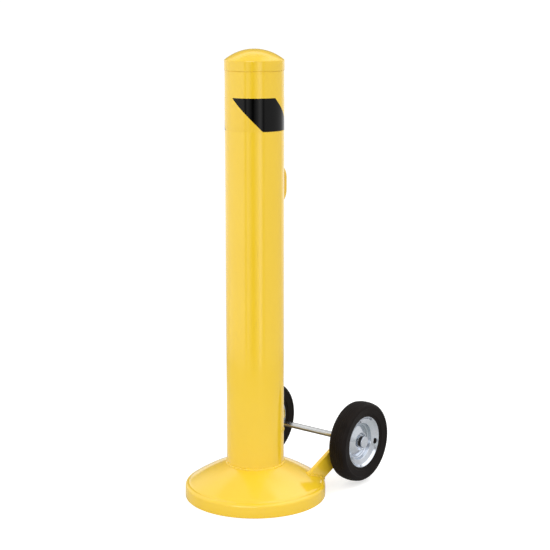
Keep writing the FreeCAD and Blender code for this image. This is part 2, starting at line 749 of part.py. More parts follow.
def check_and_export():
    """Stops on any failed object or shape, then writes one STEP file for each piece."""
    doc.recompute()
    for item in doc.Objects:
        if "Invalid" in item.State or "Error" in item.State:
            raise RuntimeError(f"{item.Name} did not compute: {item.State}")
    for piece in pieces:
        if piece.Shape.isNull() or not piece.Shape.isValid() or not piece.Shape.Solids:
            raise RuntimeError(f"{piece.Label} has no valid solid")
    os.makedirs("parts", exist_ok=True)
    for piece in pieces:
        piece.Shape.exportStep(f"parts/{piece.Label}.step")
        print(piece.Label, len(piece.Shape.Solids), "solids,", round(piece.Shape.Volume), "mm3")


envelope = base_envelope("base_envelope", "0")
grown_envelope = base_envelope("grown_base_envelope", "sizes.weld_leg")
post = post_cylinder("post_envelope", "0")
grown_post = post_cylinder("grown_post_envelope", "sizes.weld_leg")

make_base()
make_post()
make_post_weld(envelope)
make_cap()
make_band()
make_stripes()
handle = make_handle(post)
make_handle_welds(post, grown_post, handle)
make_arms(envelope, grown_envelope)
make_axle_set()
make_wheel("right")
make_wheel("left")
check_and_export()
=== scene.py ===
import math

import bmesh
import bpy
from mathutils import Matrix, Vector, noise


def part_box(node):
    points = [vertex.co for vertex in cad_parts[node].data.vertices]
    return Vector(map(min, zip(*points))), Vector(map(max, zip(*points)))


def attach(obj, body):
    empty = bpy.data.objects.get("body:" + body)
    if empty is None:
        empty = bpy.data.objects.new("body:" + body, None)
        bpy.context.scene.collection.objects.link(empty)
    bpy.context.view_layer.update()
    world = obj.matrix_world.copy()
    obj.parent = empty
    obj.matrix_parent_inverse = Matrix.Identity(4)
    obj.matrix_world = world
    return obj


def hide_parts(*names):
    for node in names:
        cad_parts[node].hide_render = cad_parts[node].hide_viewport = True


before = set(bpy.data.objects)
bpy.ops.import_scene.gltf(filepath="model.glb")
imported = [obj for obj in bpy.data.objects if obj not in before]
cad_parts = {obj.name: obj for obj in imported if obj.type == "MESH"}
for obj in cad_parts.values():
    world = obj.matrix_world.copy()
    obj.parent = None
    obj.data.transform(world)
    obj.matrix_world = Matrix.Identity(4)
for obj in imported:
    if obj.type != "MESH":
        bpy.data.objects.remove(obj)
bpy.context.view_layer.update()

# A movable steel safety bollard: yellow powder-coated post and base, black and yellow band, grab
# handle and two rubber-tyred wheels on zinc-plated rims. Lengths are in metres, and the pieces are
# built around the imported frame: origin under the base, +Z up, +Y towards the wheels, +X on the axle.

MM = 0.001

# ---- sizes and places, read from the frame ---------------------------------------------------

POST_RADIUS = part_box("post_tube")[1].x
POST_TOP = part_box("post_tube")[1].z
POST_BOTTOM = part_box("post_tube")[0].z
POST_WALL = 4.8 * MM
SEAM_BEVEL = 0.6 * MM

RIM_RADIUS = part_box("base_shell")[1].x
DOME_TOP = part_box("base_shell")[1].z
RIM_HEIGHT = 30 * MM
RIM_ROUND = 9 * MM
DOME_RADIUS = 475 * MM
SHELL_WALL = 5 * MM

CAP_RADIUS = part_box("post_cap")[1].x
CAP_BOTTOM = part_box("post_cap")[0].z
CAP_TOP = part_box("post_cap")[1].z
CAP_SKIRT_TOP = POST_TOP + 24.2 * MM
CAP_WALL = 3 * MM
CAP_SPIGOT_RADIUS = POST_RADIUS - POST_WALL - 0.08 * MM

BAND_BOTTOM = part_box("warning_band")[0].z
BAND_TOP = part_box("warning_band")[1].z
BAND_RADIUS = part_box("warning_band")[1].x
STRIPE_RADIUS = BAND_RADIUS + 0.15 * MM
STRIPE_START = math.radians(-97.5)
STRIPE_COUNT = 2

HANDLE_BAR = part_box("grab_handle")[1].x
HANDLE_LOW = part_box("grab_handle")[0].z + HANDLE_BAR
HANDLE_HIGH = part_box("grab_handle")[1].z - HANDLE_BAR
HANDLE_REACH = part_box("grab_handle")[1].y - HANDLE_BAR
HANDLE_BEND = 32 * MM

AXLE_LOW, AXLE_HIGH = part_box("axle")
AXLE_RADIUS = (AXLE_HIGH.z - AXLE_LOW.z) / 2
AXLE_CENTRE = (AXLE_LOW + AXLE_HIGH) / 2
AXLE_END = AXLE_HIGH.x

ARM_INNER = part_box("arm_right")[0].x
ARM_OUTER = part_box("arm_right")[1].x
ARM_SLOPE = math.radians(23)
ARM_WIDTH = 48.5 * MM
ARM_OVER_AXLE = 12.7 * MM
ARM_TAIL = 13 * MM
ARM_CORNER = 6.3 * MM
ARM_RUN = 178 * MM

TYRE_LOW, TYRE_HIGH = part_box("tyre_right")
WHEEL_MIDDLE = (TYRE_LOW.x + TYRE_HIGH.x) / 2
TYRE_HALF = (TYRE_HIGH.x - TYRE_LOW.x) / 2
TYRE_RADIUS = (TYRE_HIGH.z - TYRE_LOW.z) / 2
TYRE_WIDEST = 90.9 * MM
SHOULDER_HALF = 18.6 * MM
SHOULDER_RADIUS = 98 * MM
BEAD_OUT = 18.1 * MM
BEAD_RADIUS = 65.6 * MM
LIP_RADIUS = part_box("rim_outer_right")[1].z - AXLE_CENTRE.z
LIP_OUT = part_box("rim_outer_right")[1].x - WHEEL_MIDDLE
RIM_SHEET = 1.5 * MM
RIM_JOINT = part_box("rim_outer_right")[0].x - WHEEL_MIDDLE
WEB_RADIUS = 44.3 * MM
STEP_LOW = (46.3 * MM, 6.2 * MM)
STEP_HIGH = (58.6 * MM, 10.9 * MM)
FOOT_RADIUS = 41 * MM
BOSS_RADIUS = 23.3 * MM
BOSS_OUT = 7 * MM
THROAT_DEPTH = 7 * MM
THROAT_RADIUS = 18 * MM
HUB_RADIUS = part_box("hub_tube_right")[1].z - AXLE_CENTRE.z
HUB_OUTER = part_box("hub_tube_right")[1].x - WHEEL_MIDDLE
HUB_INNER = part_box("hub_tube_right")[0].x - WHEEL_MIDDLE
HUB_BORE = 13 * MM
VENT_WIDTH = 7 * MM
VENT_LENGTH = 15 * MM
VENT_RADIUS = 57 * MM
WHEEL_ROLL = math.radians(12)

WASHER_WALL = 2 * MM
AXLE_CAP_HEIGHT = 3.4 * MM
AXLE_CAP_SHEET = 0.8 * MM
WELD_LEG = 4.5 * MM

# Points closer than this are one point.
SAME_POINT = 1e-7

# A rounded corner uses at most this share of the straight on each side of it.
CORNER_SHARE = 0.49

# Edges that turn by more than these angles, in degrees, are shaded as sharp.
SHARP_RIM = 35
SHARP_USUAL = 40
SHARP_ARM = 50
SHARP_TYRE = 60
SHARP_WELD = 80


# ---- mesh helpers -------------------------------------------------------------------------------

def make_piece(name, vertices, faces, material, body, stands_for=(), sharp=SHARP_USUAL):
    """Makes one visible piece: smooth-shaded up to the sharp angle, riding on its body."""
    mesh = bpy.data.meshes.new(name)
    mesh.from_pydata(vertices, [], faces)
    cleaner = bmesh.new()
    cleaner.from_mesh(mesh)
    bmesh.ops.remove_doubles(cleaner, verts=cleaner.verts, dist=SAME_POINT)
    bmesh.ops.recalc_face_normals(cleaner, faces=cleaner.faces)
    cleaner.to_mesh(mesh)
    cleaner.free()
    mesh.polygons.foreach_set("use_smooth", [True] * len(mesh.polygons))
    mesh.set_sharp_from_angle(angle=math.radians(sharp))
    piece = bpy.data.objects.new(name, mesh)
    bpy.context.scene.collection.objects.link(piece)
    mesh.materials.append(material["material"])
    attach(piece, body)
    if stands_for:
        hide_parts(*stands_for)
    return piece


def arc(centre, radius, start, end, steps):
    """Points along an arc in a plane, angles in radians, both ends included."""
    points = []
    for step in range(steps + 1):
        angle = start + (end - start) * step / steps
        points.append((centre[0] + radius * math.cos(angle), centre[1] + radius * math.sin(angle)))
    return points


def rounded(corners, closed=True, steps=5):
    """An outline whose corners are (x, y) or (x, y, rounding); a rounded corner becomes an arc."""
    points = []
    count = len(corners)
    for place, corner in enumerate(corners):
        at_end = not closed and place in (0, count - 1)
        if len(corner) == 2 or at_end:
            points.append(corner[:2])
            continue
        here = Vector(corner[:2])
        before = Vector(corners[place - 1][:2]) - here
        after = Vector(corners[(place + 1) % count][:2]) - here
        half_angle = before.angle(after) / 2
        reach = corner[2] / math.tan(half_angle)
        reach = min(reach, before.length * CORNER_SHARE, after.length * CORNER_SHARE)
        radius = reach * math.tan(half_angle)
        start = here + before.normalized() * reach
        end = here + after.normalized() * reach
        centre = here + (before.normalized() + after.normalized()).normalized() * (
            radius / math.sin(half_angle))
        first = math.atan2(start.y - centre.y, start.x - centre.x)
        last = math.atan2(end.y - centre.y, end.x - centre.x)
        turn = (last - first + math.pi) % (2 * math.pi) - math.pi
        points.extend(arc(centre, radius, first, first + turn, steps))
    return points


def turn_profile(profile, segments, closed=True):
    """Turns a profile of (distance from axis, place on axis) about +Z. A point on the axis becomes
    one shared vertex."""
    vertices = []
    rows = []
    for distance, place in profile:
        if distance < SAME_POINT:
            rows.append([len(vertices)])
            vertices.append((0, 0, place))
            continue
        rows.append(list(range(len(vertices), len(vertices) + segments)))
        for segment in range(segments):
            angle = 2 * math.pi * segment / segments
            vertices.append((distance * math.cos(angle), distance * math.sin(angle), place))
    faces = []
    pairs = zip(rows, rows[1:] + rows[:1]) if closed else zip(rows, rows[1:])
    for low, high in pairs:
        for segment in range(segments):
            following = (segment + 1) % segments
            ring = [low[segment % len(low)], low[following % len(low)],
                    high[following % len(high)], high[segment % len(high)]]
            corners = list(dict.fromkeys(ring))
            if len(corners) > 2:
                faces.append(corners)
    return vertices, faces


def to_wheel(vertices, side):
    """Lays a shape turned about +Z along the axle, its +Z pointing away from the middle, at a
    wheel's middle plane, rolled so that the slots lie a little below the axle. The left wheel is
    the right one turned half round."""
    stand_up = Matrix.Rotation(math.pi / 2, 4, "Y") @ Matrix.Rotation(-WHEEL_ROLL, 4, "Z")
    outwards = Matrix.Identity(4) if side == "right" else Matrix.Rotation(math.pi, 4, "Z")
    reach = WHEEL_MIDDLE if side == "right" else -WHEEL_MIDDLE
    place = Matrix.Translation((reach, AXLE_CENTRE.y, AXLE_CENTRE.z))
    whole = place @ outwards @ stand_up
    return [whole @ Vector(vertex) for vertex in vertices]


def smooth_through(points, steps=6):
    """A Catmull-Rom curve through open 2-D points."""
    result = []
    padded = [points[0]] + list(points) + [points[-1]]
    for place in range(1, len(padded) - 2):
        before, start, end, after = (Vector(p) for p in padded[place - 1:place + 3])
        for step in range(steps):
            t = step / steps
            result.append(tuple(0.5 * (
                2 * start + (end - before) * t
                + (2 * before - 5 * start + 4 * end - after) * t ** 2
                + (3 * start - before - 3 * end + after) * t ** 3)))
    result.append(tuple(points[-1]))
    return result


# ---- the base's surface -----------------------------------------------------------------------

def arc_centre(start, end, radius):
    """The centre of the arc from start to end that bulges to the right of the way it runs."""
    chord = end - start
    square = Vector((-chord.y, chord.x)).normalized()
    return (start + end) / 2 + square * math.sqrt(radius ** 2 - (chord.length / 2) ** 2)


DOME_CENTRE = arc_centre(Vector((RIM_RADIUS, RIM_HEIGHT)), Vector((POST_RADIUS, DOME_TOP)), DOME_RADIUS)
ROUND_CENTRE_R = RIM_RADIUS - RIM_ROUND
ROUND_CENTRE_Z = DOME_CENTRE.y + math.sqrt(
    (DOME_RADIUS - RIM_ROUND) ** 2 - (ROUND_CENTRE_R - DOME_CENTRE.x) ** 2)


def dome_height(distance):
    """Height of the base's upper surface at a distance from the axis, rounding included."""
    if distance > ROUND_CENTRE_R:
        across = min(distance - ROUND_CENTRE_R, RIM_ROUND)
        return ROUND_CENTRE_Z + math.sqrt(RIM_ROUND ** 2 - across ** 2)
    return DOME_CENTRE.y + math.sqrt(DOME_RADIUS ** 2 - (distance - DOME_CENTRE.x) ** 2)


def inside_base(point):
    """Whether a point lies in the base's outer form."""
    distance = math.hypot(point.x, point.y)
    return distance < RIM_RADIUS and point.z < dome_height(distance)


# ---- materials ----------------------------------------------------------------------------------

def add_node(tree, kind, settings=None, **inputs):
    """Adds a shader node. An input given as a socket is linked and any other value is set; an
    underscore in an input's name stands for a space, and a name like i0 is a place in the list."""
    made = tree.nodes.new(kind)
    for name, value in (settings or {}).items():
        setattr(made, name, value)
    for name, value in inputs.items():
        key = int(name[1:]) if name[0] == "i" and name[1:].isdigit() else name.replace("_", " ")
        socket = made.inputs[key]
        if isinstance(value, bpy.types.NodeSocket):
            tree.links.new(value, socket)
        else:
            socket.default_value = value
    return made


def noise_value(tree, vector, scale, detail=2.0, roughness=0.5):
    """A grey noise between about 0.3 and 0.7, at so many features a metre."""
    made = add_node(tree, "ShaderNodeTexNoise", Vector=vector, Scale=scale, Detail=detail,
                    Roughness=roughness)
    return made.outputs["Fac"]


def mapped(tree, value, low, high, to_low, to_high):
    """A value stretched from one range to another and clamped."""
    made = add_node(tree, "ShaderNodeMapRange", Value=value, From_Min=low, From_Max=high,
                    To_Min=to_low, To_Max=to_high)
    return made.outputs["Result"]


def calculated(tree, operation, *values):
    """One step of arithmetic on sockets and numbers."""
    inputs = {f"i{place}": value for place, value in enumerate(values)}
    return add_node(tree, "ShaderNodeMath", {"operation": operation}, **inputs).outputs[0]


def mixed(tree, share, first, second):
    """A colour between two, each a socket or four numbers."""
    made = add_node(tree, "ShaderNodeMix", {"data_type": "RGBA"}, i0=share, i6=first, i7=second)
    return made.outputs[2]


def bumped(tree, height, distance, strength=1.0, normal=None):
    """A normal from a height between 0 and 1 that stands for this many metres."""
    made = add_node(tree, "ShaderNodeBump", Height=height, Distance=distance, Strength=strength)
    if normal is not None:
        tree.links.new(normal, made.inputs["Normal"])
    return made.outputs["Normal"]


def start_material(name):
    """An empty material with its surface shader and the piece's own coordinates in metres."""
    material = bpy.data.materials.new(name)
    material.use_nodes = True
    tree = material.node_tree
    surface = tree.nodes["Principled BSDF"]
    place = add_node(tree, "ShaderNodeTexCoord").outputs["Object"]
    return material, tree, surface, place


def set_surface(tree, surface, **inputs):
    """Links or sets inputs of the surface shader."""
    for name, value in inputs.items():
        socket = surface.inputs[name.replace("_", " ")]
        if isinstance(value, bpy.types.NodeSocket):
            tree.links.new(value, socket)
        else:
            socket.default_value = value


def powder_coat():
    """Glossy yellow powder coat: slight clouding, orange peel and grit around the foot."""
    material, tree, surface, place = start_material("yellow_powder_coat")
    cloud = mapped(tree, noise_value(tree, place, 7, 3), 0.3, 0.7, 0, 1)
    colour = mixed(tree, cloud, (0.93, 0.61, 0.024, 1), (0.95, 0.635, 0.032, 1))
    height = add_node(tree, "ShaderNodeSeparateXYZ", Vector=place).outputs["Z"]
    low_down = mapped(tree, height, 0.0, 0.010, 1, 0)
    grit = mapped(tree, noise_value(tree, place, 300, 5, 0.7), 0.54, 0.66, 0, 0.7)
    dust = calculated(tree, "MULTIPLY", low_down, grit)
    colour = mixed(tree, dust, colour, (0.42, 0.27, 0.06, 1))
    gloss = mapped(tree, noise_value(tree, place, 40, 4), 0.3, 0.7, 0.10, 0.17)
    peel = noise_value(tree, place, 600, 2)
    waves = noise_value(tree, place, 30, 1)
    normal = bumped(tree, waves, 0.2 * MM, 0.35)
    normal = bumped(tree, peel, 0.05 * MM, 0.25, normal)
    set_surface(tree, surface, Base_Color=colour, Roughness=gloss, Normal=normal,
                Specular_IOR_Level=0.85)
    return {"material": material, "slot": "yellow_paint"}


def film(name, slot, dark, light, roughness, shine):
    """Smooth self-adhesive film with a faint bead texture and a little haze."""
    material, tree, surface, place = start_material(name)
    haze = mapped(tree, noise_value(tree, place, 30, 4), 0.3, 0.7, 0, 1)
    colour = mixed(tree, haze, dark, light)
    beads = add_node(tree, "ShaderNodeTexVoronoi", Vector=place, Scale=1400).outputs["Distance"]
    normal = bumped(tree, beads, 0.03 * MM, 0.2)
    gloss = mapped(tree, haze, 0, 1, roughness, roughness + 0.06)
    set_surface(tree, surface, Base_Color=colour, Roughness=gloss, Normal=normal,
                Specular_IOR_Level=shine)
    return {"material": material, "slot": slot}


def rubber():
    """Matt moulded rubber, a little brown, with patches of different sheen and fine grain."""
    material, tree, surface, place = start_material("tyre_rubber")
    patches = mapped(tree, noise_value(tree, place, 28, 4), 0.35, 0.65, 0, 1)
    colour = mixed(tree, patches, (0.0085, 0.0063, 0.0056, 1), (0.0135, 0.0105, 0.0095, 1))
    grain = noise_value(tree, place, 1500, 3, 0.6)
    normal = bumped(tree, grain, 0.12 * MM, 0.5)
    gloss = mapped(tree, patches, 0, 1, 0.42, 0.6)
    set_surface(tree, surface, Base_Color=colour, Roughness=gloss, Normal=normal,
                Specular_IOR_Level=0.08)
    return {"material": material, "slot": "tyre_rubber"}


def zinc():
    """Bright zinc plate: bluish grains that catch the light differently, clouds of duller,
    greener passivation, and the ripple that the press leaves."""
    material, tree, surface, place = start_material("zinc_plate")
    grains = add_node(tree, "ShaderNodeTexVoronoi", Vector=place, Scale=300)
    tint = add_node(tree, "ShaderNodeSeparateColor", Color=grains.outputs["Color"]).outputs[0]
    cloud = mapped(tree, noise_value(tree, place, 60, 4), 0.35, 0.65, 0, 1)
    spangle = mixed(tree, tint, (0.56, 0.61, 0.68, 1), (0.72, 0.75, 0.80, 1))
    colour = mixed(tree, cloud, spangle, (0.64, 0.67, 0.73, 1))
    stain = mapped(tree, noise_value(tree, place, 25, 3), 0.45, 0.7, 0, 0.6)
    colour = mixed(tree, stain, colour, (0.50, 0.55, 0.56, 1))
    gloss = mapped(tree, tint, 0, 1, 0.09, 0.18)
    ripple = noise_value(tree, place, 120, 3)
    normal = bumped(tree, ripple, 0.2 * MM, 0.3)
    set_surface(tree, surface, Base_Color=colour, Metallic=1.0, Roughness=gloss, Normal=normal)
    return {"material": material, "slot": "zinc_plate"}


def bright_steel():
    """Drawn bright bar with fine lines along its length, with painted shade on its underside: darker, duller
    and less metallic there.
    """
    material, tree, surface, place = start_material("bright_steel")
    stretched = add_node(tree, "ShaderNodeMapping", Vector=place, Scale=(1, 60, 60)).outputs[0]
    lines = noise_value(tree, stretched, 40, 4, 0.6)
    colour = mixed(tree, mapped(tree, lines, 0.3, 0.7, 0, 1), (0.52, 0.53, 0.53, 1),
                   (0.76, 0.765, 0.76, 1))
    gloss = mapped(tree, lines, 0.3, 0.7, 0.10, 0.2)
    # Painted shade: where the surface faces down, the bar is painted darker, rougher and less metallic.
    facing = add_node(tree, "ShaderNodeTexCoord").outputs["Normal"]
    upward = add_node(tree, "ShaderNodeSeparateXYZ", Vector=facing).outputs["Z"]
    painted_underside_shade = mapped(tree, upward, -0.35, 0.2, 1, 0)
    colour = mixed(tree, painted_underside_shade, colour, (0.10, 0.10, 0.095, 1))
    unshaded_metal = mapped(tree, painted_underside_shade, 0, 1, 1, 0)
    gloss = calculated(tree, "MAXIMUM", gloss, mapped(tree, painted_underside_shade, 0, 1, 0, 0.5))
    normal = bumped(tree, lines, 0.05 * MM, 0.3)
    set_surface(tree, surface, Base_Color=colour, Metallic=unshaded_metal, Roughness=gloss, Normal=normal)
    return {"material": material, "slot": "bright_steel"}


def nylon():
    """Dark moulded nylon for the bushes and washers."""
    material, tree, surface, place = start_material("nylon")
    patches = mapped(tree, noise_value(tree, place, 120, 3), 0.3, 0.7, 0, 1)
    colour = mixed(tree, patches, (0.012, 0.012, 0.013, 1), (0.022, 0.022, 0.024, 1))
    normal = bumped(tree, noise_value(tree, place, 900, 2), 0.05 * MM, 0.3)
    set_surface(tree, surface, Base_Color=colour, Roughness=0.45, Normal=normal)
    return {"material": material, "slot": "nylon"}


def concrete():
    """Grey cast ballast, out of sight inside the base."""
    material, tree, surface, place = start_material("ballast_fill")
    stones = mapped(tree, noise_value(tree, place, 120, 6, 0.7), 0.35, 0.65, 0, 1)
    colour = mixed(tree, stones, (0.20, 0.19, 0.175, 1), (0.36, 0.345, 0.32, 1))
    normal = bumped(tree, stones, 0.6 * MM, 0.5)
    set_surface(tree, surface, Base_Color=colour, Roughness=0.9, Normal=normal)
    return {"material": material, "slot": "ballast_fill"}


PAINT = powder_coat()
BAND_YELLOW = film("band_yellow_film", "band_yellow", (0.92, 0.60, 0.024, 1),
                   (0.95, 0.63, 0.032, 1), 0.16, 0.85)
BAND_BLACK = film("band_black_film", "band_black", (0.0006, 0.0006, 0.0006, 1),
                  (0.0014, 0.0014, 0.0014, 1), 0.07, 0.25)
RUBBER = rubber()
ZINC = zinc()
STEEL = bright_steel()
NYLON = nylon()
CONCRETE = concrete()


# ---- weld beads -----------------------------------------------------------------------------------

BEAD_STEP = 1.2 * MM
BEAD_RIPPLE = 4.6 * MM
BEAD_SIDES = 14

# Shares of a bead's size: the dip between ripples, two scales of swelling and the drift of its
# centre; then the lengths over which it wanders and lumps.
BEAD_DIP = 0.1
BEAD_WANDER = 0.35
BEAD_LUMP = 0.2
BEAD_DRIFT = 0.25
WANDER_LENGTH = 60 * MM
LUMP_LENGTH = 35 * MM

# The leaning upright that a bead's section is turned from.
BEAD_UPRIGHT = Vector((0.13, 0.21, 1.0))


def evenly(path, step):
    """A closed path of 3-D points, walked again in equal steps."""
    lengths = [(path[(place + 1) % len(path)] - point).length for place, point in enumerate(path)]
    count = max(12, round(sum(lengths) / step))
    spacing = sum(lengths) / count
    points = []
    place = 0
    walked = 0.0
    for number in range(count):
        target = number * spacing
        while walked + lengths[place] < target:
            walked += lengths[place]
            place += 1
        share = (target - walked) / lengths[place]
        points.append(path[place].lerp(path[(place + 1) % len(path)], share))
    return points


def weld_bead(path, size, seed):
    """A closed weld bead along a path: a tube whose size swells in overlapping ripples and
    wanders a little, as a hand-laid bead does."""
    points = evenly(path, BEAD_STEP)
    count = len(points)
    ripples = max(1, round(count * BEAD_STEP / BEAD_RIPPLE))
    vertices = []
    for number, point in enumerate(points):
        ahead = points[(number + 1) % count] - points[number - 1]
        side = ahead.cross(BEAD_UPRIGHT).normalized()
        upward = side.cross(ahead).normalized()
        phase = number * ripples / count
        scallop = 1 - BEAD_DIP * abs(math.cos(math.pi * phase)) ** 3
        angle = 2 * math.pi * number / count
        around = Vector((math.cos(angle), math.sin(angle), seed))
        wander = noise.noise(around * (count * BEAD_STEP / WANDER_LENGTH))
        lump = noise.noise(around * (count * BEAD_STEP / LUMP_LENGTH) + Vector((7, 3, seed)))
        radius = size * scallop * (1 + BEAD_WANDER * wander + BEAD_LUMP * lump)
        centre = point + (side * wander + upward * lump) * size * BEAD_DRIFT
        for corner in range(BEAD_SIDES):
            angle = 2 * math.pi * corner / BEAD_SIDES
            vertices.append(centre + (side * math.cos(angle) + upward * math.sin(angle)) * radius)
    faces = []
    for number in range(count):
        for corner in range(BEAD_SIDES):
            here = number * BEAD_SIDES
            there = ((number + 1) % count) * BEAD_SIDES
            turned = (corner + 1) % BEAD_SIDES
            faces.append([here + corner, here + turned, there + turned, there + corner])
    return vertices, faces


def joined(shapes):
    """Several (vertices, faces) shapes as one."""
    vertices = []
    faces = []
    for more_vertices, more_faces in shapes:
        start = len(vertices)
        vertices.extend(more_vertices)
        faces.extend([start + corner for corner in face] for face in more_faces)
    return vertices, faces


# ---- the base -------------------------------------------------------------------------------------

ROUND_SEGMENTS = 256


def build_base():
    """The pressed shell: upright side, rounded edge and dome outside, the same inside."""
    top = Vector((ROUND_CENTRE_R, ROUND_CENTRE_Z)) - DOME_CENTRE
    round_end = math.atan2(top.y, top.x)
    dome_start = Vector((ROUND_CENTRE_R, ROUND_CENTRE_Z)) + top.normalized() * RIM_ROUND
    outside = rounded([(RIM_RADIUS - SHELL_WALL, 0), (RIM_RADIUS, 0, 1.2 * MM), (RIM_RADIUS, ROUND_CENTRE_Z)],
                      closed=False)
    outside += arc((ROUND_CENTRE_R, ROUND_CENTRE_Z), RIM_ROUND, 0, round_end, 14)[1:]
    dome_steps = 40
    for step in range(1, dome_steps + 1):
        distance = dome_start.x + (POST_RADIUS - dome_start.x) * step / dome_steps
        outside.append((distance, dome_height(distance)))
    inside = []
    inner_edge = RIM_RADIUS - SHELL_WALL
    for step in range(dome_steps + 1):
        distance = POST_RADIUS + (inner_edge - SHELL_WALL - POST_RADIUS) * step / dome_steps
        inside.append((distance, dome_height(distance) - 1.1 * SHELL_WALL))
    inside.append((inner_edge, RIM_HEIGHT - SHELL_WALL / 2))
    vertices, faces = turn_profile(outside + inside, ROUND_SEGMENTS)
    make_piece("base_dome", vertices, faces, PAINT, "bollard", ["base_shell"])


def build_post_weld():
    """The hand-laid bead where the post meets the dome."""
    ring = []
    for number in range(ROUND_SEGMENTS):
        angle = 2 * math.pi * number / ROUND_SEGMENTS
        reach = POST_RADIUS + 0.6 * MM
        ring.append(Vector((reach * math.cos(angle), reach * math.sin(angle), DOME_TOP - 0.2 * MM)))
    vertices, faces = weld_bead(ring, WELD_LEG * 0.7, 1.7)
    make_piece("post_weld_bead", vertices, faces, PAINT, "bollard", ["post_weld"], sharp=SHARP_WELD)


# ---- the post, its cap and its band -----------------------------------------------------------------

def build_post():
    """The tube, bevelled at its upper end."""
    inside = POST_RADIUS - POST_WALL
    outline = rounded([
        (inside, POST_BOTTOM),
        (POST_RADIUS, POST_BOTTOM),
        (POST_RADIUS, POST_TOP - SEAM_BEVEL, 0.4 * MM),
        (POST_RADIUS - SEAM_BEVEL, POST_TOP, 0.2 * MM),
        (inside, POST_TOP, 0.3 * MM),
    ])
    vertices, faces = turn_profile(outline, ROUND_SEGMENTS)
    make_piece("post_skin", vertices, faces, PAINT, "bollard", ["post_tube"])


def crown_points(edge, low, high, steps):
    """A sphere's profile from its edge up to its top on the axis."""
    rise = high - low
    radius = (edge ** 2 + rise ** 2) / (2 * rise)
    points = []
    for step in range(steps + 1):
        distance = edge * (1 - step / steps)
        points.append((distance, high - radius + math.sqrt(radius ** 2 - distance ** 2)))
    return points


def build_cap():
    """The domed cap: crown, skirt with a bevelled seam edge, and spigot."""
    bore = CAP_SPIGOT_RADIUS - CAP_WALL
    skirt = rounded([
        (CAP_SPIGOT_RADIUS, POST_TOP),
        (CAP_RADIUS - SEAM_BEVEL, POST_TOP, 0.2 * MM),
        (CAP_RADIUS, POST_TOP + SEAM_BEVEL, 0.4 * MM),
        (CAP_RADIUS, CAP_SKIRT_TOP, 5 * MM),
        crown_points(CAP_RADIUS, CAP_SKIRT_TOP, CAP_TOP, 24)[1],
    ], closed=False)
    crown = crown_points(CAP_RADIUS, CAP_SKIRT_TOP, CAP_TOP, 24)[2:]
    hollow = crown_points(bore, CAP_SKIRT_TOP - CAP_WALL / 2, CAP_TOP - CAP_WALL, 16)[::-1]
    spigot = [(bore, CAP_BOTTOM), (CAP_SPIGOT_RADIUS, CAP_BOTTOM)]
    vertices, faces = turn_profile(skirt + crown + hollow + spigot, ROUND_SEGMENTS)
    make_piece("cap_skin", vertices, faces, PAINT, "cap", ["post_cap"])


def build_band():
    """The yellow film and the black stripes, whose ends climb the post at 45 degrees."""
    outline = rounded([
        (POST_RADIUS, BAND_BOTTOM),
        (BAND_RADIUS, BAND_BOTTOM, 0.1 * MM),
        (BAND_RADIUS, BAND_TOP, 0.1 * MM),
        (POST_RADIUS, BAND_TOP),
    ])
    vertices, faces = turn_profile(outline, ROUND_SEGMENTS)
    make_piece("band_film", vertices, faces, BAND_YELLOW, "bollard", ["warning_band"])
    stripes = [stripe(STRIPE_START + number * 2 * math.pi / STRIPE_COUNT) for number in range(STRIPE_COUNT)]
    vertices, faces = joined(stripes)
    make_piece("stripe_film", vertices, faces, BAND_BLACK, "bollard", ["band_stripes"])


def stripe(start):
    """One black stripe as a thin closed panel of film, start being its upper left direction."""
    inner = BAND_RADIUS + 0.005 * MM
    climb = (BAND_TOP - BAND_BOTTOM) / inner
    span = math.pi / STRIPE_COUNT
    across_steps = 64
    upward_steps = 24
    vertices = []
    for radius in (inner, STRIPE_RADIUS):
        for row in range(upward_steps + 1):
            share = row / upward_steps
            left = start + climb * (1 - share)
            height = BAND_BOTTOM + (BAND_TOP - BAND_BOTTOM) * share
            for column in range(across_steps + 1):
                angle = left + span * column / across_steps
                vertices.append((radius * math.cos(angle), radius * math.sin(angle), height))
    columns = across_steps + 1
    layer = columns * (upward_steps + 1)
    faces = []
    for row in range(upward_steps):
        for column in range(across_steps):
            corner = row * columns + column
            ring = [corner, corner + 1, corner + columns + 1, corner + columns]
            faces.append([layer + point for point in ring])
            faces.append(ring[::-1])
    border = list(range(columns))
    border += [row * columns + across_steps for row in range(1, upward_steps + 1)]
    border += [upward_steps * columns + column for column in range(across_steps - 1, -1, -1)]
    border += [row * columns for row in range(upward_steps - 1, 0, -1)]
    for place, point in enumerate(border):
        following = border[(place + 1) % len(border)]
        faces.append([point, following, layer + following, layer + point])
    return vertices, faces


# ---- the grab handle ----------------------------------------------------------------------------------

def sweep_round(path, radius, sides=28):
    """A round bar along an open path of 3-D points that lies in the plane x = 0, with flat ends."""
    vertices = []
    for place, point in enumerate(path):
        ahead = path[min(place + 1, len(path) - 1)] - path[max(place - 1, 0)]
        square = Vector((0, -ahead.z, ahead.y)).normalized()
        for corner in range(sides):
            angle = 2 * math.pi * corner / sides
            vertices.append(point + (Vector((1, 0, 0)) * math.cos(angle) + square * math.sin(angle)) * radius)
    faces = []
    for place in range(len(path) - 1):
        for corner in range(sides):
            turned = (corner + 1) % sides
            here = place * sides
            faces.append([here + corner, here + turned, here + sides + turned, here + sides + corner])
    faces.append(list(range(sides)))
    faces.append(list(range((len(path) - 1) * sides, len(path) * sides)))
    return vertices, faces


